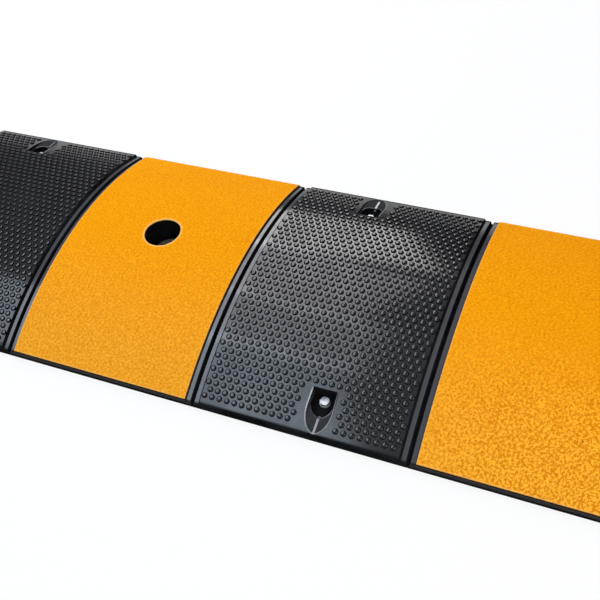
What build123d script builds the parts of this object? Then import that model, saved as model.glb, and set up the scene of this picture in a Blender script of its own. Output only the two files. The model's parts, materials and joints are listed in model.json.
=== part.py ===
from build123d import *
import math
import os

# Run of modules: X along the run, Y the way a wheel crosses it, Z up from the road, in millimetres
BLACK = "black"
YELLOW = "yellow"
module_colours = (BLACK, YELLOW, BLACK, YELLOW)
module_pitch = 250.0
joint_clearance = 0.4
joint_groove_width = 3.0
joint_groove_depth = 4.0
depth = 350.0
height = 50.0

# Arched body: a raised panel over most of the length, a lower rim at each end
front_wall = 10.0
panel_step = 3.5
rim_width = 6.5
panel_bevel = 2.0
panel_nose_radius = 2.5
rim_bevel = 1.2

# Hollow underside
skin = 12.0
end_wall = 28.0
rib = 11.0
cell_columns = 3
cell_rows = 4
cell_corner_radius = 6.0

# Yellow sheet bonded on the panel of a yellow module
sheet_thickness = 1.5
bond_line = 0.1
sheet_inset = 0.8
sheet_end_margin = 2.0

# Screw pocket of a black module, one at the front and one turned half round at the rear
pocket_offset = 20.0
screw_from_edge = 41.0
pocket_back_length = 7.5
pocket_back_width = 27.0
pocket_bow_width = 29.0
pocket_bow_setback = 13.0
pocket_tip_margin = 3.5
pocket_well_width = 24.5
pocket_well_front = 19.5
pocket_well_wall = 10.0
pocket_bead_width = 1.2
pocket_bead_height = 0.5
seat_height = 12.0
well_bevel = 0.9
valley_drop = 1.2
valley_fall = 10.0
valley_floor = 2.6
valley_side_angle = 18.0

# Studs on the panel of a black module: six-sided, in a triangular pattern, on a narrow flat under each row
stud_sides = 6
stud_pitch = 9.1
stud_foot_radius = 3.1
stud_top_radius = 2.0
stud_rise = 1.2
stud_root = 0.6
stud_flat_depth = 0.05
stud_edge_margin = 11.0
stud_side_margin = 5.0
pocket_side_clearing = 8.5
pocket_back_clearing = 6.2

# Hexagon screw and flat washer, size M6
screw_diameter = 6.0
screw_clearance = 0.6
head_across_flats = 10.0
head_height = 4.0
head_chamfer = 0.7
washer_diameter = 12.0
washer_thickness = 1.6
washer_clearance = 0.4
road_clearance = 0.3

# Anchor hole of the first yellow module
anchor_hole_diameter = 45.0
anchor_bore_diameter = 14.0
anchor_setback = 19.0
anchor_floor = 12.0
anchor_boss_wall = 12.0
anchor_sheet_margin = 0.5
anchored_yellow_modules = (1,)

# Dowels between neighbouring modules
dowel_diameter = 12.0
dowel_length = 38.0
dowel_clearance = 0.4
dowel_end_play = 1.0
dowel_spacing = 150.0
dowel_height = 18.0
dowel_chamfer = 1.0

# Worked out from the sizes above
module_length = module_pitch - joint_clearance
rims_length = module_pitch - joint_groove_width
panel_length = rims_length - 2 * rim_width
half_depth = depth / 2
arch_rise = height - front_wall
arch_radius = (half_depth**2 + arch_rise**2) / (2 * arch_rise)
screw_y = -(half_depth - screw_from_edge)
back_y = screw_y + pocket_back_length
bow_y = screw_y - pocket_bow_setback
well_y = screw_y - pocket_well_front + pocket_well_width / 2
tip_y = -half_depth + pocket_tip_margin
half_arc = arch_radius * math.asin(half_depth / arch_radius)
row_pitch = stud_pitch * math.sqrt(3) / 2
row_turn = row_pitch / arch_radius
row_shift = stud_pitch / 4
stud_rows = int(2 * (half_arc - stud_edge_margin) / row_pitch) + 1
stud_columns = int((panel_length - 2 * stud_side_margin - 2 * row_shift) / stud_pitch) + 1
stud_seat_radius = arch_radius - stud_flat_depth
run_length = module_pitch * len(module_colours)
cut_height = 2 * height
on_base = (Align.CENTER, Align.CENTER, Align.MIN)


def arch_height(y, crown):
    """Height at y of an arch whose crown stands at the given height."""
    return crown - arch_radius + math.sqrt(arch_radius**2 - y**2)


def arch(length, crown):
    """Solid under an arch: flat underside, low front and rear walls, a circular arc between them."""
    lip = crown - arch_rise
    outline = [
        Line((-half_depth, 0), (half_depth, 0)),
        Line((half_depth, 0), (half_depth, lip)),
        ThreePointArc((half_depth, lip), (0, crown), (-half_depth, lip)),
        Line((-half_depth, lip), (-half_depth, 0)),
    ]
    return extrude(Plane.YZ * make_face(outline), length / 2, both=True)


def vault(length, crown):
    """Everything inside the arc of an arch, as a cylinder along X."""
    return Pos(0, 0, crown - arch_radius) * Cylinder(arch_radius, length, rotation=(0, 90, 0))


def rim_block():
    """Block at the height of the end rims, bevelled along them, on a longer foot under the joint grooves."""
    foot = arch(module_length, height) & vault(2 * module_length, height - panel_step - joint_groove_depth)
    rims = arch(rims_length, height - panel_step)
    return foot + chamfer(rims.edges().filter_by(GeomType.CIRCLE), rim_bevel)


def row_flats():
    """Prism with a top of flats just inside the arc, one under each row of studs and on past the walls."""
    flats = stud_rows + 2 * math.ceil(stud_edge_margin / row_pitch) + 2
    ridge_radius = stud_seat_radius / math.cos(row_turn / 2)
    ridges = []
    for ridge in range(flats + 1):
        lean = (ridge - flats / 2) * row_turn
        ridges.append((ridge_radius * math.sin(lean), height - arch_radius + ridge_radius * math.cos(lean)))
    past = ridges[-1][0]
    outline = Polyline((-past, -height), *ridges, (past, -height), close=True)
    return extrude(Plane.YZ * make_face(outline), module_length, both=True)


def studded_panel():
    """Raised panel of a black module, with rounded noses, bevelled ends and a flat for each row of studs."""
    panel = arch(panel_length, height)
    noses = panel.edges().filter_by(Axis.X).group_by(Axis.Z)[-1]
    panel = fillet(noses, panel_nose_radius)
    panel = chamfer(panel.edges().filter_by(GeomType.CIRCLE), panel_bevel)
    return panel & row_flats()


def stud():
    """Drafted stud on the crown of the panel, with a root in it, about the axis of the arc."""
    draft = (stud_foot_radius - stud_top_radius) / stud_rise
    root = RegularPolygon(stud_foot_radius + stud_root * draft, stud_sides)
    top = RegularPolygon(stud_top_radius, stud_sides)
    ends = [Pos(0, 0, stud_seat_radius - stud_root) * root, Pos(0, 0, stud_seat_radius + stud_rise) * top]
    return loft(ends, ruled=True)


def studs():
    """Studs square to the panel, in rows shifted by half a pitch in turn, clear of the screw pockets."""
    button = stud()
    field = []
    for row in range(stud_rows):
        lean = (row - (stud_rows - 1) / 2) * row_turn
        y = stud_seat_radius * math.sin(lean)
        pocket_x = pocket_offset if y < 0 else -pocket_offset
        shift = row_shift if row % 2 else -row_shift
        for column in range(stud_columns):
            x = (column - (stud_columns - 1) / 2) * stud_pitch + shift
            beside_pocket = abs(x - pocket_x) < pocket_bow_width / 2 + pocket_side_clearing
            if not beside_pocket or abs(y) < -back_y - pocket_back_clearing:
                field.append(Pos(x, 0, height - arch_radius) * Rot(-math.degrees(lean)) * button)
    return field


def sheet_panel():
    """Raised panel of a yellow module, lower by the sheet that is bonded on it."""
    return arch(panel_length, height - sheet_thickness - bond_line)


def underside_cells():
    """Hollows between the ribs of the underside, with a ceiling that follows the arch."""
    field_length = module_length - 2 * end_wall
    field_depth = 2 * (-back_y - pocket_well_wall)
    cell_length = (field_length - (cell_columns - 1) * rib) / cell_columns
    cell_depth = (field_depth - (cell_rows - 1) * rib) / cell_rows
    grid = GridLocations(cell_length + rib, cell_depth + rib, cell_columns, cell_rows)
    cell = RectangleRounded(cell_length, cell_depth, cell_corner_radius)
    plan = Sketch() + [place * cell for place in grid]
    return extrude(plan, height) & vault(field_length, height - panel_step - skin)


def dowel_holes():
    """Blind holes in both end faces for the dowels of the joints."""
    hole_depth = (dowel_length - joint_clearance) / 2 + dowel_end_play
    hole = Cylinder((dowel_diameter + dowel_clearance) / 2, 2 * hole_depth, rotation=(0, 90, 0))
    ends = GridLocations(module_length, dowel_spacing, 2, 2)
    return [Pos(0, 0, dowel_height) * place * hole for place in ends]


def pocket_mouth(margin):
    """Plan of the front pocket: a straight back edge and a bow towards the front wall, wider by a margin."""
    half_back = pocket_back_width / 2 + margin
    half_bow = pocket_bow_width / 2 + margin
    corners = [(-half_back, back_y), (half_back, back_y), (half_bow, bow_y), (-half_bow, bow_y)]
    bow = Ellipse(half_bow, bow_y - tip_y + margin) & Pos(0, -half_depth) * Rectangle(depth, depth)
    return make_face(Polyline(*corners, close=True)) + Pos(0, bow_y) * bow


def pocket_bead():
    """Low bead moulded along the sides and the bow of the front pocket."""
    wall = extrude(pocket_mouth(pocket_bead_width), cut_height)
    return Pos(pocket_offset) * (wall & arch(panel_length, height + pocket_bead_height))


def screw_pocket():
    """Space of the front pocket: a bevelled well round the screw and a trough that drains forward."""
    valley_run = back_y - tip_y
    side_rise = pocket_bow_width * math.tan(math.radians(valley_side_angle))
    vee = [
        (-valley_floor / 2, 0),
        (valley_floor / 2, 0),
        (pocket_bow_width, side_rise),
        (pocket_bow_width, side_rise + height),
        (-pocket_bow_width, side_rise + height),
        (-pocket_bow_width, side_rise),
    ]
    tip = (0, tip_y, arch_height(tip_y, height) - valley_drop)
    fall = math.radians(valley_fall)
    valley = Plane(origin=tip, x_dir=(1, 0, 0), z_dir=(0, -math.cos(fall), -math.sin(fall)))
    trough = extrude(valley * make_face(Polyline(*vee, close=True)), 2 * valley_run, both=True)

    well = make_face(Polyline(
        (-pocket_well_width / 2, back_y),
        (pocket_well_width / 2, back_y),
        (pocket_well_width / 2, well_y),
        (-pocket_well_width / 2, well_y),
        close=True,
    ))
    well += Pos(0, well_y) * Circle(pocket_well_width / 2)

    drain = extrude(pocket_mouth(0), cut_height) & trough
    pocket = drain + extrude(Pos(0, 0, seat_height) * well, cut_height)
    rim = pocket.edges().filter_by(GeomType.ELLIPSE).filter_by(lambda edge: edge.center().Z < height)
    pocket = chamfer(rim, well_bevel)
    bore = Pos(0, screw_y, seat_height) * Cylinder((screw_diameter + screw_clearance) / 2, cut_height)
    return Pos(pocket_offset) * (pocket + bore)


def both_ways(shape):
    """A front piece and the same piece turned half round the module's upright axis."""
    return [shape, Rot(0, 0, 180) * shape]


def anchor_hole():
    """Stepped hole for a road anchor: a wide mouth down to a floor with a bore through it."""
    mouth = Cylinder(anchor_hole_diameter / 2, height, align=on_base)
    bore = Cylinder(anchor_bore_diameter / 2, cut_height)
    return Pos(0, anchor_setback) * (Pos(0, 0, anchor_floor) * mouth + bore)


def black_body():
    """Rubber body of a black module."""
    body = rim_block() + studded_panel() + both_ways(pocket_bead())
    body -= underside_cells()
    body = body - dowel_holes() - both_ways(screw_pocket())
    return body + studs()


def yellow_body(anchored):
    """Rubber body of a yellow module, with the anchor hole and its boss where it has one."""
    body = rim_block() + sheet_panel()
    cells = underside_cells()
    if anchored:
        cells -= Pos(0, anchor_setback) * Cylinder(anchor_hole_diameter / 2 + anchor_boss_wall, cut_height)
        body -= anchor_hole()
    return body - cells - dowel_holes()


def yellow_sheet(anchored):
    """Sheet of even thickness laid over the panel, punched over the anchor hole."""
    length = panel_length - 2 * sheet_inset
    shell = arch(length, height) - arch(length, height - sheet_thickness)
    shell &= Box(length, depth - 2 * sheet_end_margin, 2 * cut_height)
    if anchored:
        punch_radius = anchor_hole_diameter / 2 + anchor_sheet_margin
        shell -= Pos(0, anchor_setback) * Cylinder(punch_radius, 2 * cut_height)
    return shell


def hex_screw():
    """Hexagon head and the shank down to the road, with its axis on Z."""
    hexagon = extrude(RegularPolygon(head_across_flats / 2, 6, major_radius=False), head_height)
    corner_radius = head_across_flats / math.sqrt(3)
    turned = Cylinder(corner_radius, head_height, align=on_base)
    turned = chamfer(turned.edges().group_by(Axis.Z)[-1], head_chamfer)
    head = Pos(0, 0, seat_height + washer_thickness) * (hexagon & turned)
    shank_length = seat_height + washer_thickness - road_clearance
    shank = Cylinder(screw_diameter / 2, shank_length, align=on_base)
    return head + Pos(0, 0, road_clearance) * shank


def flat_washer():
    """Flat washer on the floor of a pocket's well, with its axis on Z."""
    ring = Circle(washer_diameter / 2) - Circle((screw_diameter + washer_clearance) / 2)
    return Pos(0, 0, seat_height) * extrude(ring, washer_thickness)


def dowel():
    """Plain dowel with chamfered ends, lying along X."""
    pin = Cylinder(dowel_diameter / 2, dowel_length, rotation=(0, 90, 0))
    return chamfer(pin.edges().filter_by(GeomType.CIRCLE), dowel_chamfer)


def save(shape, node):
    """Write one piece under its name, without the curves in surface space, which only swell the file."""
    export_step(shape, f"parts/{node}.step", write_pcurves=False)


os.makedirs("parts", exist_ok=True)
black = black_body()
counts = {BLACK: 0, YELLOW: 0}
for place, colour in enumerate(module_colours):
    counts[colour] += 1
    number = counts[colour]
    centre = Pos((place + 0.5) * module_pitch - run_length / 2)
    if colour == BLACK:
        save(centre * black, f"black_module_{number}")
        for end, turn in (("front", 0), ("rear", 180)):
            seat = centre * Rot(0, 0, turn) * Pos(pocket_offset, screw_y)
            save(seat * hex_screw(), f"black_{number}_{end}_screw")
            save(seat * flat_washer(), f"black_{number}_{end}_washer")
    else:
        anchored = number in anchored_yellow_modules
        save(centre * yellow_body(anchored), f"yellow_module_{number}")
        save(centre * yellow_sheet(anchored), f"yellow_sheet_{number}")

for joint in range(1, len(module_colours)):
    joint_x = joint * module_pitch - run_length / 2
    for end, side in (("front", -1), ("rear", 1)):
        save(Pos(joint_x, side * dowel_spacing / 2, dowel_height) * dowel(), f"joint_{joint}_{end}_dowel")
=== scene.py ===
import json
import math

import bpy
import numpy as np
from mathutils import Matrix, Vector


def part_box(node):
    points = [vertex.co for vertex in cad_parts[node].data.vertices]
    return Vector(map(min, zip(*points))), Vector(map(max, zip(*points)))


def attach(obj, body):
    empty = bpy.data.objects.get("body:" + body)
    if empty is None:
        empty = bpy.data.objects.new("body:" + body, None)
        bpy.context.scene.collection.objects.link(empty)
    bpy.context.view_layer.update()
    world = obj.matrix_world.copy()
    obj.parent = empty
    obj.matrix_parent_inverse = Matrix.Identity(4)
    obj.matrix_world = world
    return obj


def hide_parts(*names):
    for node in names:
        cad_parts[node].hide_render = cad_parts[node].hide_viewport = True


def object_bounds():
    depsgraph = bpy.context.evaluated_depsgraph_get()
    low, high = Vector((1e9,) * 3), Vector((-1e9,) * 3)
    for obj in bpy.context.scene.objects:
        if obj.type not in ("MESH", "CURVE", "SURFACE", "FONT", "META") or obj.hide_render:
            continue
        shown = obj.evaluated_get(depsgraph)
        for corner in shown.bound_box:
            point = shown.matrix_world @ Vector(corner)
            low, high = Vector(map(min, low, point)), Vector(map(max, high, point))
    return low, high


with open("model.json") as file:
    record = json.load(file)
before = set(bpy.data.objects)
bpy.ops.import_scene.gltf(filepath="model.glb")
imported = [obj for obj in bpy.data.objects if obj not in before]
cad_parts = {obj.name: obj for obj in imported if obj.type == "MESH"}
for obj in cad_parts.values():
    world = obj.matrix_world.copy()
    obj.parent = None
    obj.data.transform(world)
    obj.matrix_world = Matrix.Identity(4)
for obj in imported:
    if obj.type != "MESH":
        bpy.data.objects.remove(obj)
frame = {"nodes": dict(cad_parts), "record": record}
cad_low, cad_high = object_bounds()

# Module bodies: blocks of black recycled rubber, moulded hot with an arched back, low rims at both ends
# and screw pockets in the black ones. The tread comes out of the mould polished, the walls and pockets
# matt. Dust greys both in clouds. Light is painted into their colour too: dust with a bluish painted sheen
# on the rims, a painted sheen on the drains' slopes, a painted highlight on the drains' stems, a lighter
# band painted on the walls' tops and painted light, greyed with the dust, on the hole's floor.
BODY_NODES = ("black_module_1", "yellow_module_1", "black_module_2", "yellow_module_2")
CROWN = 0.050
FRONT_WALL = 0.010
ARCH_RADIUS = (cad_high.y**2 + (CROWN - FRONT_WALL)**2) / (2 * (CROWN - FRONT_WALL))
MODULE_PITCH = 0.250
RIM_REACH = 0.0080
NOSE_WIDTH = 0.0045
POLISH_DEPTH = 0.0063
MATT_DEPTH = 0.0075
HOLE_FLOOR_DEPTH = 0.028
BLACK_MIDDLE = 0.125
POCKET_OFFSET = 0.020
DRAIN_FLOOR_HALF = 0.0013
DRAIN_START = 0.150
# Reach of the lighter band painted on the yellow modules' walls, and the heights where it starts and is
# full.
WALL_REACH = 0.0015
WALL_DARK_TOP = 0.0038
WALL_LIGHT_LOW = 0.0060
RUBBER_DEEP = (0.0040, 0.0042, 0.0047, 1.0)
RUBBER_DUSTY = (0.0125, 0.0130, 0.0145, 1.0)
# Dust with a bluish painted sheen on the rims.
RIM_DUST_AND_SHEEN = (0.057, 0.057, 0.065, 1.0)
# Painted sheen on the drains' slopes.
DRAIN_PAINTED_SHEEN = (0.045, 0.045, 0.048, 1.0)
# Painted highlight on the drains' stems.
STEM_PAINTED_HIGHLIGHT = (0.20, 0.20, 0.22, 1.0)
# Painted lighter band on the upper walls of the yellow modules.
WALL_PAINTED_LIGHT = (0.036, 0.034, 0.033, 1.0)
# Painted light, greyed with the dust, on the hole's floor.
HOLE_FLOOR_LIGHT = (0.21, 0.19, 0.16, 1.0)
RUBBER_POLISH = 0.13
RUBBER_COAT_IOR = 1.66
CLOUDS_PER_METRE = 11.0
SCUFFS_PER_METRE = 90.0
GRAINS_PER_METRE = 1100.0
GRAIN_HEIGHT = 0.00012
CLOUD_SHARE = 0.65
CLEAN_BELOW = 0.36
DUSTY_ABOVE = 0.66
LEAST_DUST = 0.7
DUST_DULLING = 0.3
RUBBER_ROUGHNESS = 0.46
DUST_ROUGHNESS = 0.14
GRAIN_ROUGHNESS = 0.10
STEEP_BELOW = 0.76
LEVEL_ABOVE = 0.89
LEAN_LEAST = 0.12
LEAN_DRAIN = 0.20
LEAN_MOST = 0.28


class Tone:
    """A socket in a node tree. Operators on tones add Math nodes, and add() makes any other node."""

    def __init__(self, tree, socket=None):
        self.tree = tree
        self.socket = socket

    def add(self, kind, settings, inputs, output=0):
        """One node: its settings first, then its sockets, each given a value or linked to a tone."""
        node = self.tree.nodes.new(kind)
        for name, value in settings.items():
            if name == "stops":
                ramp = node.color_ramp
                while len(ramp.elements) < len(value):
                    ramp.elements.new(1.0)
                for element, (position, colour) in zip(ramp.elements, value):
                    element.position = position
                    element.color = colour
            else:
                setattr(node, name, value)
        for name, value in inputs.items():
            if isinstance(value, Tone):
                self.tree.links.new(value.socket, node.inputs[name])
            else:
                node.inputs[name].default_value = value
        return Tone(self.tree, node.outputs[output] if len(node.outputs) else None)

    def math(self, operation, *values):
        return self.add("ShaderNodeMath", {"operation": operation}, dict(enumerate(values)))

    def __add__(self, other):
        return self.math("ADD", self, other)

    def __radd__(self, other):
        return self.math("ADD", other, self)

    def __sub__(self, other):
        return self.math("SUBTRACT", self, other)

    def __rsub__(self, other):
        return self.math("SUBTRACT", other, self)

    def __mul__(self, other):
        return self.math("MULTIPLY", self, other)

    def __rmul__(self, other):
        return self.math("MULTIPLY", other, self)

    def __pow__(self, other):
        return self.math("POWER", self, other)

    def part(self, axis):
        """The X, Y or Z of this position or direction."""
        return self.add("ShaderNodeSeparateXYZ", {}, {"Vector": self}, axis)

    def noise(self, per_metre, detail):
        """Noise on this position, with about so many lumps in a metre."""
        return self.add("ShaderNodeTexNoise", {}, {"Vector": self, "Scale": per_metre, "Detail": detail})

    def ramp(self, *stops):
        """Colour at this value, read off a line of stops."""
        return self.add("ShaderNodeValToRGB", {"stops": stops}, {"Fac": self})

    def mix(self, first, second):
        """Colour between two others, at this value from 0 to 1."""
        colours = {"Factor": self, 6: first, 7: second}
        return self.add("ShaderNodeMix", {"data_type": "RGBA", "clamp_factor": True}, colours, 2)

    def smooth_step(self, low, high):
        """0 below low and 1 above high, with an eased rise between them."""
        inputs = {"Value": self, "From Min": low, "From Max": high}
        return self.add("ShaderNodeMapRange", {"interpolation_type": "SMOOTHSTEP"}, inputs)

    def bump(self, height):
        """Surface normal disturbed by this value, which stands for a rise of that many metres."""
        return self.add("ShaderNodeBump", {}, {"Height": self, "Distance": height}, "Normal")

    def surface(self, sockets):
        """Closes the tree with a principled surface."""
        shader = self.add("ShaderNodeBsdfPrincipled", {}, sockets)
        self.add("ShaderNodeOutputMaterial", {}, {"Surface": shader})


def new_finish(name):
    """An empty material and the position on the piece, from which its node tree grows."""
    material = bpy.data.materials.new(name)
    material.use_nodes = True
    material.node_tree.nodes.clear()
    return material, Tone(material.node_tree).add("ShaderNodeTexCoord", {}, {}, "Object")


def rubber_finish(name, polish, shade):
    """Rubber that dust dulls in clouds and scuffs, with a fine grain in its skin and a satin coat where it
    is polished."""
    material, place = new_finish(name)
    clouds = place.noise(CLOUDS_PER_METRE, 3.0)
    scuffs = place.noise(SCUFFS_PER_METRE, 4.0)
    dust = CLOUD_SHARE * clouds + (1 - CLOUD_SHARE) * scuffs
    dust = dust.smooth_step(CLEAN_BELOW, DUSTY_ABOVE)
    grain = place.noise(GRAINS_PER_METRE, 2.0)
    place.surface({
        "Base Color": shade(place, dust),
        "Roughness": RUBBER_ROUGHNESS + DUST_ROUGHNESS * dust + GRAIN_ROUGHNESS * grain,
        "Specular IOR Level": 0.0,
        "Coat Weight": polish(place) * (1 - DUST_DULLING * dust),
        "Coat Roughness": RUBBER_POLISH,
        "Coat IOR": RUBBER_COAT_IOR,
        "Normal": grain.bump(GRAIN_HEIGHT),
    })
    return material


def depth_under_arch(place):
    """Depth of a place under the arc of the tread."""
    y = place.part("Y")
    return CROWN - ARCH_RADIUS + (ARCH_RADIUS**2 - y * y) ** 0.5 - place.part("Z")


def facing(place):
    """1 where a face looks up and 0 where it is steep, and how far it leans along the run."""
    normal = place.add("ShaderNodeNewGeometry", {}, {}, "Normal")
    lean = normal.part("X")
    return normal.part("Z").smooth_step(STEEP_BELOW, LEVEL_ABOVE), lean.math("ABSOLUTE", lean)


def level_face(place):
    """1 on faces that look up, 0 on walls, on the noses and on slopes that lean along the run."""
    upward, lean = facing(place)
    y = place.part("Y")
    nose = y.math("ABSOLUTE", y).smooth_step(cad_high.y - NOSE_WIDTH, cad_high.y - NOSE_WIDTH / 3)
    return upward * (1 - lean.smooth_step(LEAN_LEAST, LEAN_MOST)) * (1 - nose)


def tread_polish(place):
    """1 on level faces near the arc, 0 on the floors of the pocket wells and of the joint grooves."""
    return level_face(place) * (1 - depth_under_arch(place).smooth_step(POLISH_DEPTH, MATT_DEPTH))


def plain_shade(place, dust):
    """Black, greyed by dust."""
    return dust.mix(RUBBER_DEEP, RUBBER_DUSTY)


def drain_stem(place):
    """1 on the narrow floor of a drain. Pockets lie to one side of a black module's middle at the front and
    to the other at the rear, and black modules lie two pitches apart."""
    x, y = place.part("X"), place.part("Y")
    beside = x - BLACK_MIDDLE + POCKET_OFFSET * y.math("SIGN", y)
    from_axis = x.math("PINGPONG", beside, MODULE_PITCH)
    narrow = 1 - from_axis.smooth_step(0.85 * DRAIN_FLOOR_HALF, DRAIN_FLOOR_HALF)
    return narrow * y.math("ABSOLUTE", y).smooth_step(DRAIN_START, 1.01 * DRAIN_START)


def sheet_wall(place):
    """1 on the tops of the long walls of the yellow modules, which lie a pitch from the black ones: where
    the lighter band is painted.
    """
    x, y = place.part("X"), place.part("Y")
    from_black = x.math("PINGPONG", x - BLACK_MIDDLE, MODULE_PITCH)
    yellow = from_black.smooth_step(0.499 * MODULE_PITCH, 0.501 * MODULE_PITCH)
    outer = y.math("ABSOLUTE", y).smooth_step(cad_high.y - WALL_REACH, cad_high.y - WALL_REACH / 3)
    return yellow * outer * place.part("Z").smooth_step(WALL_DARK_TOP, WALL_LIGHT_LOW)


def body_shade(place, dust):
    """Black, greyed by dust, with light painted in: dust and a bluish painted sheen on the rims, a painted
    sheen on the drains' slopes, a painted highlight on their stems, a lighter band painted on the walls'
    tops and painted light on the hole's floor.
    """
    x = place.part("X")
    from_joint = x.math("PINGPONG", x, MODULE_PITCH / 2)
    under = depth_under_arch(place)
    upward, lean = facing(place)
    layer = LEAST_DUST + (1 - LEAST_DUST) * dust
    level_layer = level_face(place) * layer
    near_joint = 1 - from_joint.smooth_step(0.95 * RIM_REACH, RIM_REACH)
    rim = near_joint * (1 - under.smooth_step(POLISH_DEPTH, MATT_DEPTH))
    drain = upward * lean.smooth_step(LEAN_DRAIN, LEAN_MOST)
    hole_floor = under.smooth_step(0.9 * HOLE_FLOOR_DEPTH, HOLE_FLOOR_DEPTH)
    # Rims: dust with a bluish painted sheen.
    colour = (level_layer * rim).mix(plain_shade(place, dust), RIM_DUST_AND_SHEEN)
    # Drains' slopes: painted sheen.
    colour = (drain * layer).mix(colour, DRAIN_PAINTED_SHEEN)
    # Drains' stems: painted highlight.
    colour = (level_layer * drain_stem(place)).mix(colour, STEM_PAINTED_HIGHLIGHT)
    # Upper walls of the yellow modules: painted lighter band.
    colour = sheet_wall(place).mix(colour, WALL_PAINTED_LIGHT)
    # Hole's floor: painted light, greyed with the dust.
    return (level_layer * hole_floor).mix(colour, HOLE_FLOOR_LIGHT)


def dress(node, material):
    """Gives a node its finish."""
    slots = frame["nodes"][node].data.materials
    if len(slots):
        slots[0] = material
    else:
        slots.append(material)


body_rubber = rubber_finish("body_rubber", tread_polish, body_shade)
for node in BODY_NODES:
    dress(node, body_rubber)


# Studs: rows of low round buttons moulded on the black panels for grip, each row half a pitch off the
# next. They stop short of the panel's edges and leave a smooth patch round each screw pocket. Their tops
# are polished like the panel, and their flanks are matt.
STUD_COLUMNS = 25
STUD_ROWS = 44
STUD_PITCH = 0.0091
STUD_RADIUS = 0.0035
STUD_RISE = 0.0015
STUD_ROOT = 0.0005
STUD_SIDES = 12
STUD_RINGS = 5
STUD_SQUARENESS = 2.7
STUD_SHIFT = 0.25
FLANK_BELOW = 0.70
TOP_ABOVE = 0.92
MOULDED_CORNER = math.radians(75)
POCKET_BACK = 0.1265
POCKET_HALF_WIDTH = 0.0145
POCKET_SIDE_CLEARING = 0.0085
POCKET_BACK_CLEARING = 0.0062


def put_mesh(name, points, faces, material, sharp_angle):
    """A smooth-shaded object made of these points and faces, with edges kept sharp past that angle."""
    mesh = bpy.data.meshes.new(name)
    mesh.from_pydata(points, [], faces)
    mesh.materials.append(material)
    mesh.polygons.foreach_set("use_smooth", np.ones(len(mesh.polygons), dtype=bool))
    mesh.set_sharp_from_angle(angle=sharp_angle)
    mesh.update()
    piece = bpy.data.objects.new(name, mesh)
    bpy.context.collection.objects.link(piece)
    return piece


def middle_x(module):
    """Middle of a module along the run."""
    low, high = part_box(module)
    return (low.x + high.x) / 2


def stud_seats():
    """Seats of the studs as (x from the module's middle, lean along the arc), in a triangular pattern: rows
    lie sin(60 degrees) of a pitch apart and shift a quarter of a pitch to each side in turn."""
    row = np.arange(STUD_ROWS)[:, None]
    column = np.arange(STUD_COLUMNS)[None, :]
    shift = np.where(row % 2, STUD_SHIFT, -STUD_SHIFT)
    across = (column - (STUD_COLUMNS - 1) / 2 + shift) * STUD_PITCH
    row_turn = STUD_PITCH * math.sin(math.radians(60)) / ARCH_RADIUS
    lean = np.broadcast_to((row - (STUD_ROWS - 1) / 2) * row_turn, across.shape)
    y = ARCH_RADIUS * np.sin(lean)
    turned = np.where(y < 0, across - POCKET_OFFSET, -across - POCKET_OFFSET)
    beside = np.abs(turned) < POCKET_HALF_WIDTH + POCKET_SIDE_CLEARING
    keep = ~(beside & (np.abs(y) > POCKET_BACK - POCKET_BACK_CLEARING))
    return across[keep], lean[keep]


def stud_mesh(name, module, material):
    """A button of turn u and climb v: radius = r cos(v)^(2/n) and rise = h sin(v)^(2/n), a rounded square
    of squareness n turned about its axis, on a short root in the panel. Each leans with the arc at its
    seat."""
    across, lean = stud_seats()
    climb = np.linspace(0, math.pi / 2, STUD_RINGS + 1)[:-1]
    ring_radius = np.append(STUD_RADIUS, STUD_RADIUS * np.cos(climb)**(2 / STUD_SQUARENESS))
    ring_rise = np.append(-STUD_ROOT, STUD_RISE * np.sin(climb)**(2 / STUD_SQUARENESS))
    turn = np.arange(STUD_SIDES) * (2 * math.pi / STUD_SIDES)
    local_x = np.append((ring_radius[:, None] * np.cos(turn)).ravel(), 0)
    local_s = np.append((ring_radius[:, None] * np.sin(turn)).ravel(), 0)
    local_rise = np.append(np.repeat(ring_rise, STUD_SIDES), STUD_RISE)
    lean = lean[:, None]
    points = np.stack([
        middle_x(module) + across[:, None] + local_x,
        (ARCH_RADIUS + local_rise) * np.sin(lean) + local_s * np.cos(lean),
        CROWN - ARCH_RADIUS + (ARCH_RADIUS + local_rise) * np.cos(lean) - local_s * np.sin(lean),
    ], axis=-1)

    ring = np.arange((STUD_RINGS + 1) * STUD_SIDES).reshape(-1, STUD_SIDES)
    ahead = np.roll(ring, -1, axis=1)
    sides = np.stack([ring[:-1], ahead[:-1], ahead[1:], ring[1:]], axis=-1).reshape(-1, 4)
    top = np.full(STUD_SIDES, ring.size)
    cap = np.stack([ring[-1], ahead[-1], top], axis=-1)
    root = ring[:1, ::-1]
    first = np.arange(len(across))[:, None, None] * (ring.size + 1)
    faces = []
    for part in (sides, cap, root):
        faces += (part + first).reshape(-1, part.shape[1]).tolist()
    studs = put_mesh(name, points.reshape(-1, 3), faces, material, MOULDED_CORNER)
    rise = np.tile(np.clip(local_rise / STUD_RISE, 0, 1), len(across))
    studs.data.attributes.new("rise", "FLOAT", "POINT").data.foreach_set("value", rise)
    return studs


def stud_polish(place):
    """1 on a stud's top, 0 on its flank."""
    rise = place.add("ShaderNodeAttribute", {"attribute_name": "rise"}, {}, "Fac")
    return rise.smooth_step(FLANK_BELOW, TOP_ABOVE)


stud_rubber = rubber_finish("stud_rubber", stud_polish, plain_shade)
for number in (1, 2):
    studs = stud_mesh(f"black_studs_{number}", f"black_module_{number}", stud_rubber)
    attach(studs, "root")


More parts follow.
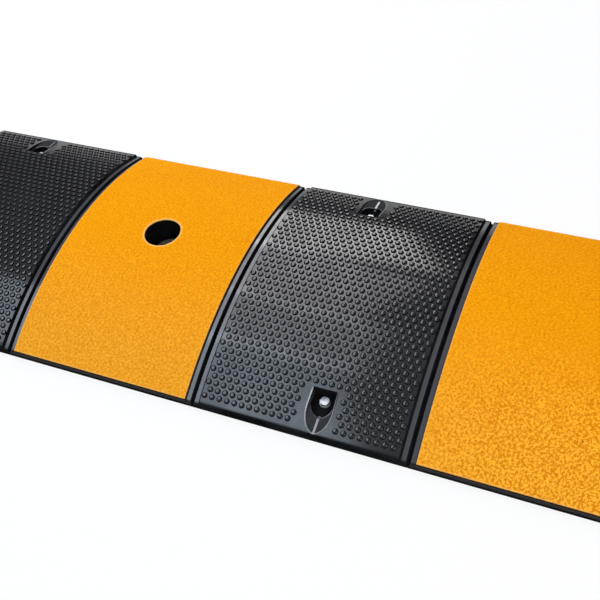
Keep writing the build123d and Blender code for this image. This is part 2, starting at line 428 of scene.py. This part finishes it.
# Pocket beads: a thin bead of rubber moulded along the sides and the bow of each screw pocket, and a lip
# round the front of its well, where the drain starts. Both are rounded. A painted highlight makes the beads
# pale on one side, fading round the bow, most at the front, and the lips faintly pale towards one end.
POCKET_BACK_HALF = 0.0135
POCKET_BOW = 0.147
POCKET_TIP = 0.1715
BEAD_OUT = 0.0006
BEAD_HALF_WIDTH = 0.0009
BEAD_RISE = 0.0009
BEAD_STEPS = 24
BEAD_SIDES = 10
BEAD_TAPER = 16
WELL_MIDDLE = 0.14125
LIP_RADIUS = 0.0127
LIP_HALF_WIDTH = 0.00075
LIP_START = math.radians(5)
DRAIN_DROP = 0.0012
DRAIN_FALL = math.tan(math.radians(10))
DRAIN_SIDE = math.tan(math.radians(18))
# Painted highlight at the start of the front beads and of the rear beads, and at the end of the lips.
FRONT_HIGHLIGHT = 1.0
REAR_HIGHLIGHT = 0.3
LIP_HIGHLIGHT = 0.3
# Greys of the painted highlight on the beads and lips, clean and under dust.
HIGHLIGHT_CLEAN = (0.36, 0.365, 0.39, 1.0)
HIGHLIGHT_DUSTY = (0.52, 0.525, 0.55, 1.0)


def arch_height(y):
    """Height of the panel's arc at y."""
    return CROWN - ARCH_RADIUS + np.sqrt(ARCH_RADIUS**2 - y**2)


def mouth_path():
    """Edge of a pocket as (u along the run, w out from the crown line, z): two straight sides and half an
    ellipse."""
    run = np.linspace(0, 1, BEAD_STEPS)
    bow = np.linspace(0, math.pi, 2 * BEAD_STEPS)[1:-1]
    side_u = BEAD_OUT + POCKET_BACK_HALF + (POCKET_HALF_WIDTH - POCKET_BACK_HALF) * run
    side_w = POCKET_BACK + (POCKET_BOW - POCKET_BACK) * run
    bow_u = (POCKET_HALF_WIDTH + BEAD_OUT) * np.cos(bow)
    bow_w = POCKET_BOW + (POCKET_TIP - POCKET_BOW + BEAD_OUT) * np.sin(bow)
    u = np.concatenate([-side_u, -bow_u, side_u[::-1]])
    w = np.concatenate([side_w, bow_w, side_w[::-1]])
    return u, w, arch_height(w)


def lip_path():
    """Front edge of a well as (u, w, z): an arc on the drain, which falls outwards and rises sideways."""
    turn = np.linspace(LIP_START, math.pi - LIP_START, 2 * BEAD_STEPS)
    u = -LIP_RADIUS * np.cos(turn)
    w = WELL_MIDDLE + LIP_RADIUS * np.sin(turn)
    beside = np.maximum(np.abs(u) - DRAIN_FLOOR_HALF, 0)
    tip_z = arch_height(POCKET_TIP) - DRAIN_DROP
    return u, w, tip_z + (POCKET_TIP - w) * DRAIN_FALL + beside * DRAIN_SIDE


def bead_mesh(name, centre, way, path, half_width, rise, painted_highlight, material):
    """A bead along a path: an ellipse square to it at each point, half sunk in the rubber, that closes at
    both ends as sqrt(1 - t^n), where t runs from -1 to 1 and n is the taper. The way is 1 at the front and
    -1, turned round, at the rear. The painted highlight, a paleness given at both ends, changes evenly
    along it."""
    u, w, z = path
    line = np.stack([centre + way * (POCKET_OFFSET + u), -way * w, z], axis=-1)
    ahead = np.gradient(line, axis=0)
    ahead /= np.linalg.norm(ahead, axis=1, keepdims=True)
    lean = line[:, 1] / ARCH_RADIUS
    upward = np.stack([0 * lean, lean, np.sqrt(1 - lean**2)], axis=-1)
    sideways = np.cross(upward, ahead)
    sideways /= np.linalg.norm(sideways, axis=1, keepdims=True)
    taper = np.sqrt(1 - np.linspace(-1, 1, len(line))**BEAD_TAPER)[1:-1, None, None]
    turn = (np.arange(BEAD_SIDES) * (2 * math.pi / BEAD_SIDES))[None, :, None]
    section = half_width * np.cos(turn) * sideways[1:-1, None] + rise * np.sin(turn) * upward[1:-1, None]
    rings = line[1:-1, None] + taper * section
    points = np.concatenate([rings.reshape(-1, 3), line[:1], line[-1:]])

    ring = np.arange(rings.shape[0] * BEAD_SIDES).reshape(-1, BEAD_SIDES)
    beside = np.roll(ring, -1, axis=1)
    faces = np.stack([ring[:-1], beside[:-1], beside[1:], ring[1:]], axis=-1).reshape(-1, 4).tolist()
    start = np.full(BEAD_SIDES, ring.size)
    faces += np.stack([start, beside[0], ring[0]], axis=-1).tolist()
    faces += np.stack([start + 1, ring[-1], beside[-1]], axis=-1).tolist()
    bead = put_mesh(name, points, faces, material, MOULDED_CORNER)
    # Paleness of the painted highlight at each point, changing evenly along the bead.
    worn = np.append(np.repeat(np.linspace(*painted_highlight, len(rings)), BEAD_SIDES), painted_highlight)
    bead.data.attributes.new("worn", "FLOAT", "POINT").data.foreach_set("value", worn)
    return bead


def full_polish(place):
    """1 all over."""
    return 1.0


def painted_highlight_shade(place, dust):
    """Black, and pale grey under the painted highlight, paler still under dust."""
    worn = place.add("ShaderNodeAttribute", {"attribute_name": "worn"}, {}, "Fac")
    return worn.mix(plain_shade(place, dust), dust.mix(HIGHLIGHT_CLEAN, HIGHLIGHT_DUSTY))


bead_rubber = rubber_finish("bead_rubber", full_polish, painted_highlight_shade)
for number in (1, 2):
    centre = middle_x(f"black_module_{number}")
    for end, way, painted_highlight in (("front", 1, FRONT_HIGHLIGHT), ("rear", -1, REAR_HIGHLIGHT)):
        bead_form = (mouth_path(), BEAD_HALF_WIDTH, BEAD_RISE, (painted_highlight, 0.0))
        lip_form = (lip_path(), LIP_HALF_WIDTH, LIP_HALF_WIDTH, (0.0, LIP_HIGHLIGHT))
        bead = bead_mesh(f"pocket_bead_{number}_{end}", centre, way, *bead_form, bead_rubber)
        lip = bead_mesh(f"well_lip_{number}_{end}", centre, way, *lip_form, bead_rubber)
        for piece in (bead, lip):
            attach(piece, "root")


# Yellow sheets: a reflective amber sheet with an orange-peel face, cut to the panel, punched for the
# road anchor on the first yellow module and bonded down. Its cut edge is paler and grit sticks in the peel.
# Painted highlights lie on the swells of the peel and painted shade in its creases, strongest at the
# right-hand front, and towards the front the sheet is paler with dust and a painted sheen.
SHEET_CELL = 0.00100
SHEET_THICKNESS = 0.0015
SHEET_COARSE = 4
SHEET_HOLE_RADIUS = 0.023
SHEET_HOLE_SQUARE = 0.030
SHEET_HOLE_RINGS = 8
UNDER_HOLE_RINGS = 2
CUT_CORNER = math.radians(40)
LINE_SLACK = 0.000001
PEEL_SEED = 11
PEEL_WAVES = 48
PEEL_SHORTEST = 0.0022
PEEL_LONGEST = 0.0060
PEEL_HEIGHT = 0.000018
# Light amber is the painted highlight on the swells, deep amber the painted shade in the creases.
AMBER_LIGHT = (0.99, 0.412, 0.005, 1.0)
AMBER_DEEP = (0.68, 0.203, 0.001, 1.0)
# The same towards the front, paled by dust and a bluish painted sheen.
DUST_AND_SHEEN_LIGHT = (0.99, 0.452, 0.033, 1.0)
DUST_AND_SHEEN_DEEP = (0.66, 0.213, 0.005, 1.0)
AMBER_PALE = (1.0, 0.57, 0.16, 1.0)
EDGE_PALE = 0.0014
EDGE_PALENESS = 0.4
BURR_PALE = 0.0026
GRIT = (0.16, 0.06, 0.008, 1.0)
PEEL_PER_METRE = 380.0
FINE_PEEL_PER_METRE = 1026.0
PEEL_DEPTH = 0.0007
COARSE_PEEL_SHARE = 0.6
COARSE_BUMP_SHARE = 0.75
CREASE_BELOW = 0.38
SWELL_ABOVE = 0.62
RELIEF_SPAN = 1.4
RELIEF_SHARE = 0.30
SWELL_SHARE = 0.55
STAIN_SHARE = 0.15
SHEET_ROUGHNESS = 0.66
SWELL_GLOSS = 0.14
SHEET_SHINE = 0.01
# Where the painted highlights and shade of the peel grow strongest: the right-hand front.
GLARE_START_X = 0.20
GLARE_FULL_X = 0.45
GLARE_START_Y = -0.02
GLARE_FULL_Y = -0.15
# Where dust and the painted sheen grow towards the front.
DUST_AND_SHEEN_START_Y = 0.02
DUST_AND_SHEEN_FULL_Y = -0.17
# Strength of the painted highlights and shade: plain, added towards the front, and added at the right-hand
# front.
PLAIN_CONTRAST = 0.80
DUST_AND_SHEEN_CONTRAST = 0.10
GLARE_CONTRAST = 2.6
SPECKS_PER_METRE = 26.0
SPECK_CORE = 0.018
SPECK_EDGE = 0.034
SPECK_STRENGTH = 0.8


def peel_relief(x, y):
    """Orange peel: a sum of cosine waves of 2 to 6 mm, each with its own direction and phase."""
    draw = np.random.default_rng(PEEL_SEED)
    heading = draw.uniform(0, 2 * math.pi, PEEL_WAVES)
    number = 2 * math.pi / draw.uniform(PEEL_SHORTEST, PEEL_LONGEST, PEEL_WAVES)
    phase = draw.uniform(0, 2 * math.pi, PEEL_WAVES)
    swing = x[..., None] * (number * np.cos(heading)) + y[..., None] * (number * np.sin(heading))
    return PEEL_HEIGHT * np.cos(swing + phase).sum(-1)


def cell_lines(*corners):
    """Grid lines between these corners in turn, each stretch in a whole number of coarse steps."""
    lines = [np.array(corners[:1])]
    for low, high in zip(corners[:-1], corners[1:]):
        steps = SHEET_COARSE * max(1, round((high - low) / (SHEET_CELL * SHEET_COARSE)))
        lines.append(np.linspace(low, high, steps + 1)[1:])
    return np.concatenate(lines)


def sheet_face(x_lines, y_lines, hole, rings):
    """Plan of one face: a grid, and round a hole rings of cells from a square of the grid to the circle.
    Gives the points, the quads seen from above, the outer loop and the hole's loop."""
    x, y = np.meshgrid(x_lines, y_lines, indexing="ij")
    index = np.arange(x.size).reshape(x.shape)
    quads = np.stack([index[:-1, :-1], index[1:, :-1], index[1:, 1:], index[:-1, 1:]], axis=-1)
    outer = np.concatenate([index[:-1, 0], index[-1, :-1], index[:0:-1, -1], index[0, :0:-1]])
    x, y = x.ravel(), y.ravel()
    if hole is None:
        return x, y, quads.reshape(-1, 4), outer, outer[:0]
    hole_x, hole_y, hole_radius = hole
    sides = np.array([-SHEET_HOLE_SQUARE, SHEET_HOLE_SQUARE]) - LINE_SLACK
    left, right = np.searchsorted(x_lines, hole_x + sides)
    front, rear = np.searchsorted(y_lines, hole_y + sides)
    keep = np.ones(quads.shape[:2], dtype=bool)
    keep[left:right, front:rear] = False
    square = np.concatenate([
        index[left:right, front],
        index[right, front:rear],
        index[right:left:-1, rear],
        index[left, rear:front:-1],
    ])
    away_x, away_y = x[square] - hole_x, y[square] - hole_y
    shrink = hole_radius / np.hypot(away_x, away_y)
    inward = np.arange(1, rings + 1)[:, None] / rings
    scale = 1 + (shrink - 1) * inward
    ring = np.concatenate([square[None], x.size + np.arange(scale.size).reshape(scale.shape)])
    ahead = np.roll(ring, -1, axis=1)
    ring_quads = np.stack([ring[:-1], ahead[:-1], ahead[1:], ring[1:]], axis=-1)
    x = np.append(x, hole_x + away_x * scale)
    y = np.append(y, hole_y + away_y * scale)
    quads = np.concatenate([quads[keep], ring_quads.reshape(-1, 4)])
    return x, y, quads, outer, ring[-1]


def sheet_walls(fine, coarse):
    """Seven-sided faces between a loop of the upper face and the coarser loop under it, facing right."""
    start = np.arange(0, len(fine), SHEET_COARSE)
    upper = np.append(fine, fine[:1])[start[:, None] + np.arange(SHEET_COARSE, -1, -1)]
    return np.concatenate([coarse[:, None], np.roll(coarse, -1)[:, None], upper], axis=1)


def sheet_mesh(name, node, hole, material):
    """Arched slab: the upper face follows z = crown - R + sqrt(R^2 - y^2) plus the peel, and the lower
    face, on every fourth line, lies one thickness under the arc."""
    low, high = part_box(node)
    if hole is None:
        x_lines, y_lines = cell_lines(low.x, high.x), cell_lines(low.y, high.y)
    else:
        x_lines = cell_lines(low.x, hole[0] - SHEET_HOLE_SQUARE, hole[0] + SHEET_HOLE_SQUARE, high.x)
        y_lines = cell_lines(low.y, hole[1] - SHEET_HOLE_SQUARE, hole[1] + SHEET_HOLE_SQUARE, high.y)
    x, y, quads, outer, inner = sheet_face(x_lines, y_lines, hole, SHEET_HOLE_RINGS)
    under = sheet_face(x_lines[::SHEET_COARSE], y_lines[::SHEET_COARSE], hole, UNDER_HOLE_RINGS)
    under_x, under_y, under_quads, under_outer, under_inner = under
    count = len(x)
    peel = peel_relief(x, y)
    z = np.append(arch_height(y) + peel, arch_height(under_y) - SHEET_THICKNESS)
    points = np.stack([np.append(x, under_x), np.append(y, under_y), z], axis=-1)
    faces = quads.tolist() + (under_quads[:, ::-1] + count).tolist()
    faces += sheet_walls(outer, under_outer + count).tolist()
    if hole is not None:
        faces += sheet_walls(np.roll(inner[::-1], 1), np.roll(under_inner[::-1], 1) + count).tolist()
    used, compact = np.unique(np.concatenate([np.array(face) for face in faces]), return_inverse=True)
    lengths = np.cumsum([len(face) for face in faces])[:-1]
    faces = [part.tolist() for part in np.split(compact, lengths)]
    points = points[used]
    sheet = put_mesh(name, points, faces, material, CUT_CORNER)
    edge = np.minimum(points[:, 0] - low.x, high.x - points[:, 0])
    edge = np.minimum(edge, np.minimum(points[:, 1] - low.y, high.y - points[:, 1]))
    pale = EDGE_PALENESS * (1 - edge / EDGE_PALE)
    if hole is not None:
        from_hole = np.hypot(points[:, 0] - hole[0], points[:, 1] - hole[1]) - hole[2]
        pale = np.maximum(pale, 1 - from_hole / BURR_PALE)
    sheet.data.attributes.new("pale", "FLOAT", "POINT").data.foreach_set("value", np.clip(pale, 0, 1))
    spread = PEEL_HEIGHT * math.sqrt(PEEL_WAVES / 2)
    relief = np.append(peel / spread, np.zeros(len(under_x)))[used]
    sheet.data.attributes.new("relief", "FLOAT", "POINT").data.foreach_set("value", relief)
    return sheet


def amber_finish():
    """Amber sheet: painted highlights on the swells of the peel and painted shade in its creases, strongest
    on the right-hand front. Dust and a painted sheen pale it towards the front, and it has pale cut edges
    and specks of grit."""
    material, place = new_finish("amber_sheet")
    relief = place.add("ShaderNodeAttribute", {"attribute_name": "relief"}, {}, "Fac")
    cells = place.noise(PEEL_PER_METRE, 2.0)
    fine = place.noise(FINE_PEEL_PER_METRE, 1.0)
    stain = place.noise(CLOUDS_PER_METRE, 2.0)
    swell = COARSE_PEEL_SHARE * cells + (1 - COARSE_PEEL_SHARE) * fine
    swell = swell.smooth_step(CREASE_BELOW, SWELL_ABOVE)
    x, y = place.part("X"), place.part("Y")
    # Dust and a bluish painted sheen towards the front.
    dust_and_sheen = 1 - y.smooth_step(DUST_AND_SHEEN_FULL_Y, DUST_AND_SHEEN_START_Y)
    # Painted highlights and shade of the peel grow strongest at the right-hand front.
    peel_glare = 1 - y.smooth_step(GLARE_FULL_Y, GLARE_START_Y)
    peel_glare = peel_glare * x.smooth_step(GLARE_START_X, GLARE_FULL_X)
    contrast = PLAIN_CONTRAST + DUST_AND_SHEEN_CONTRAST * dust_and_sheen + GLARE_CONTRAST * peel_glare
    # Higher peel is painted lighter as a highlight, lower peel darker as shade.
    raised = relief.smooth_step(-RELIEF_SPAN, RELIEF_SPAN)
    shade = RELIEF_SHARE * raised + SWELL_SHARE * swell + STAIN_SHARE * stain
    shade = 0.5 + (shade - 0.5) * contrast
    colour = shade.mix(dust_and_sheen.mix(AMBER_DEEP, DUST_AND_SHEEN_DEEP), dust_and_sheen.mix(AMBER_LIGHT, DUST_AND_SHEEN_LIGHT))
    pale = place.add("ShaderNodeAttribute", {"attribute_name": "pale"}, {}, "Fac")
    colour = pale.mix(colour, AMBER_PALE)
    spacing = {"Vector": place, "Scale": SPECKS_PER_METRE}
    from_speck = place.add("ShaderNodeTexVoronoi", {}, spacing, "Distance")
    speck = SPECK_STRENGTH * (1 - from_speck.smooth_step(SPECK_CORE, SPECK_EDGE))
    colour = speck.mix(colour, GRIT)
    bumps = COARSE_BUMP_SHARE * cells + (1 - COARSE_BUMP_SHARE) * fine
    place.surface({
        "Base Color": colour,
        "Roughness": SHEET_ROUGHNESS - SWELL_GLOSS * swell,
        "Specular IOR Level": SHEET_SHINE,
        "Normal": bumps.bump(PEEL_DEPTH),
    })
    return material


amber_sheet = amber_finish()
anchor = next(mount for mount in frame["record"]["mounts"] if mount["name"] == "road_anchor_bore")
anchor_x, anchor_y = anchor["pos_m"][:2]
for number, hole in ((1, (anchor_x, anchor_y, SHEET_HOLE_RADIUS)), (2, None)):
    sheet = sheet_mesh(f"amber_sheet_{number}", f"yellow_sheet_{number}", hole, amber_sheet)
    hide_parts(f"yellow_sheet_{number}")
    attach(sheet, "root")


# Fasteners: hexagon screws with flat washers, cold-formed steel with bright zinc plate, one pair in each
# pocket of the black modules. The plate is slightly cloudy and scratched by the spanner.
ZINC = (0.64, 0.65, 0.67, 1.0)
ZINC_DULL = (0.40, 0.405, 0.42, 1.0)
PLATE_PER_METRE = 260.0
SCRATCHES_PER_METRE = 2340.0
SCRATCH_DEPTH = 0.00003
BRIGHT_BELOW = 0.38
DULL_ABOVE = 0.66
ZINC_ROUGHNESS = 0.44
DULL_ROUGHNESS = 0.14


def zinc_finish():
    """Zinc plate: bright metal that goes dull and rougher in small clouds."""
    material, place = new_finish("zinc_plate")
    dull = place.noise(PLATE_PER_METRE, 4.0).smooth_step(BRIGHT_BELOW, DULL_ABOVE)
    scratch = place.noise(SCRATCHES_PER_METRE, 2.0)
    place.surface({
        "Base Color": dull.mix(ZINC, ZINC_DULL),
        "Metallic": 1.0,
        "Roughness": ZINC_ROUGHNESS + DULL_ROUGHNESS * dull,
        "Normal": scratch.bump(SCRATCH_DEPTH),
    })
    return material


zinc_plate = zinc_finish()
for number in (1, 2):
    for end in ("front", "rear"):
        dress(f"black_{number}_{end}_screw", zinc_plate)
        dress(f"black_{number}_{end}_washer", zinc_plate)


# Dowels: black nylon pins with chamfered ends, pushed into blind holes in the module ends to key them.
# They lie inside the joints, rubbed by the holes, with a faint grain.
NYLON = (0.020, 0.020, 0.022, 1.0)
NYLON_RUBBED = (0.055, 0.055, 0.058, 1.0)
RUBS_PER_METRE = 260.0
DRAWN_GRAINS_PER_METRE = 1560.0
DRAWN_GRAIN_DEPTH = 0.00005
NEW_BELOW = 0.45
RUBBED_ABOVE = 0.75
NYLON_ROUGHNESS = 0.42
RUBBED_ROUGHNESS = 0.12


def nylon_finish():
    """Black nylon: rubbed paler in clouds, with a light grain."""
    material, place = new_finish("black_nylon")
    rubbed = place.noise(RUBS_PER_METRE, 3.0).smooth_step(NEW_BELOW, RUBBED_ABOVE)
    place.surface({
        "Base Color": rubbed.mix(NYLON, NYLON_RUBBED),
        "Roughness": NYLON_ROUGHNESS + RUBBED_ROUGHNESS * rubbed,
        "Normal": place.noise(DRAWN_GRAINS_PER_METRE, 2.0).bump(DRAWN_GRAIN_DEPTH),
    })
    return material


black_nylon = nylon_finish()
for joint in (1, 2, 3):
    for end in ("front", "rear"):
        dress(f"joint_{joint}_{end}_dowel", black_nylon)


# Floor: a wide plain white sweep under the bump, which takes its soft shadow and fills the background.
FLOOR_SIZE = 60.0
FLOOR_DROP = 0.0002
FLOOR_SHADE = (0.86, 0.86, 0.86, 1.0)
FLOOR_PALE = (0.88, 0.88, 0.88, 1.0)
FLOOR_GLOW = (1.0, 1.0, 1.0, 1.0)
FLOOR_WHITENESS = 0.8
FLOOR_CLOUDS_PER_METRE = 0.6
FLOOR_ROUGHNESS = 0.9


def floor_finish():
    """Matt white with the faintest cloud in it, which the eye and a mirror see nearly at full white."""
    material, place = new_finish("white_floor")
    cloud = place.noise(FLOOR_CLOUDS_PER_METRE, 2.0)
    matt = place.add("ShaderNodeBsdfPrincipled", {}, {
        "Base Color": cloud.mix(FLOOR_SHADE, FLOOR_PALE),
        "Roughness": FLOOR_ROUGHNESS,
        "Specular IOR Level": 0.0,
    })
    glow = place.add("ShaderNodeEmission", {}, {"Color": FLOOR_GLOW, "Strength": 1.0})
    seen = 0.0
    for ray in ("Is Camera Ray", "Is Glossy Ray", "Is Transmission Ray"):
        seen = seen + place.add("ShaderNodeLightPath", {}, {}, ray)
    sheet = place.add("ShaderNodeMixShader", {}, {0: FLOOR_WHITENESS * seen, 1: matt, 2: glow})
    place.add("ShaderNodeOutputMaterial", {}, {"Surface": sheet})
    return material


corner = FLOOR_SIZE / 2
floor_points = [
    (-corner, -corner, -FLOOR_DROP),
    (corner, -corner, -FLOOR_DROP),
    (corner, corner, -FLOOR_DROP),
    (-corner, corner, -FLOOR_DROP),
]
floor = put_mesh("floor", floor_points, [(0, 1, 2, 3)], floor_finish(), math.pi)


# Studio: a pale horizon under a dim room. The black treads mirror bluish panels over their fronts, slope
# and crown and a bright window low behind the run, and a warm fill stands on the right.
ROOM_PALE = (0.90, 0.90, 0.90, 1.0)
ROOM_DIM = (0.12, 0.12, 0.128, 1.0)
ROOM_TOP = (0.34, 0.35, 0.37, 1.0)
PALE_TO = 0.09
DIM_FROM = 0.15
DIM_TO = 0.36
TOP_FROM = 0.90
world = bpy.data.worlds.new("studio")
bpy.context.scene.world = world
world.use_nodes = True
world.node_tree.nodes.clear()
sky = Tone(world.node_tree).add("ShaderNodeTexCoord", {}, {}, "Generated")
room = sky.part("Z").ramp(
    (0.0, ROOM_PALE),
    (PALE_TO, ROOM_PALE),
    (DIM_FROM, ROOM_DIM),
    (DIM_TO, ROOM_DIM),
    (TOP_FROM, ROOM_TOP),
)
backdrop = room.add("ShaderNodeBackground", {}, {"Color": room, "Strength": 1.0})
backdrop.add("ShaderNodeOutputWorld", {}, {"Surface": backdrop})


def softbox(name, towards, axis, distance, width, length, power, tint):
    """A rectangular lamp in that direction from the middle of the run, facing it, with its width square to
    that axis. Its sizes are in metres and its power in watts."""
    lamp = bpy.data.lights.new(name, "AREA")
    lamp.shape = "RECTANGLE"
    lamp.size = width
    lamp.size_y = length
    lamp.energy = power
    lamp.color = tint
    box = bpy.data.objects.new(name, lamp)
    outward = Vector(towards).normalized()
    level = Vector(axis).cross(outward).normalized()
    turn = Matrix((level, outward.cross(level), outward)).transposed()
    box.matrix_world = Matrix.Translation(outward * distance) @ turn.to_4x4()
    bpy.context.collection.objects.link(box)


ACROSS = (0.0, 1.0, 0.0)
UPRIGHT = (0.0, 0.0, 1.0)
softbox("front_panel", (-0.39, -0.245, 0.89), ACROSS, 2.3, 1.05, 1.25, 12.3, (0.72, 0.86, 1.0))
softbox("slope_panel", (-0.38, 0.17, 0.91), ACROSS, 2.3, 1.05, 0.95, 9.9, (0.84, 0.90, 1.0))
softbox("crown_panel", (-0.33, 0.54, 0.77), ACROSS, 2.3, 0.85, 1.1, 10.2, (0.97, 0.93, 1.0))
softbox("rear_window", (-0.28, 0.84, 0.48), UPRIGHT, 2.2, 0.75, 0.85, 11.0, (1.0, 0.98, 0.98))
softbox("left_panel", (-0.66, -0.16, 0.73), ACROSS, 2.8, 0.95, 1.1, 8.6, (0.74, 0.86, 1.0))
softbox("right_fill", (0.60, -0.46, 0.65), ACROSS, 2.4, 1.4, 1.4, 26.5, (1.0, 0.97, 0.93))


# Camera: above the front right of the run and tipped a little, as the photograph was taken.
VIEW_AZIMUTH = math.radians(31.135)
VIEW_ELEVATION = math.radians(50.748)
VIEW_ROLL = math.radians(-12.127)
VIEW_DISTANCE = 1.0668
VIEW_TARGET = Vector((0.0605, -0.0001, 0.0))
SENSOR_WIDTH = 36.0
FOCAL_LENGTH = 53.25
back = Vector((
    math.sin(VIEW_AZIMUTH) * math.cos(VIEW_ELEVATION),
    -math.cos(VIEW_AZIMUTH) * math.cos(VIEW_ELEVATION),
    math.sin(VIEW_ELEVATION),
))
level = Vector((math.cos(VIEW_AZIMUTH), math.sin(VIEW_AZIMUTH), 0.0))
upright = back.cross(level)
right = level * math.cos(VIEW_ROLL) + upright * math.sin(VIEW_ROLL)
up = upright * math.cos(VIEW_ROLL) - level * math.sin(VIEW_ROLL)
lens = bpy.data.cameras.new("camera")
lens.sensor_width = SENSOR_WIDTH
lens.lens = FOCAL_LENGTH
camera = bpy.data.objects.new("camera", lens)
stand = Matrix.Translation(VIEW_TARGET + back * VIEW_DISTANCE)
camera.matrix_world = stand @ Matrix((right, up, back)).transposed().to_4x4()
bpy.context.collection.objects.link(camera)
bpy.context.scene.camera = camera
bpy.context.scene.view_settings.view_transform = "Standard"
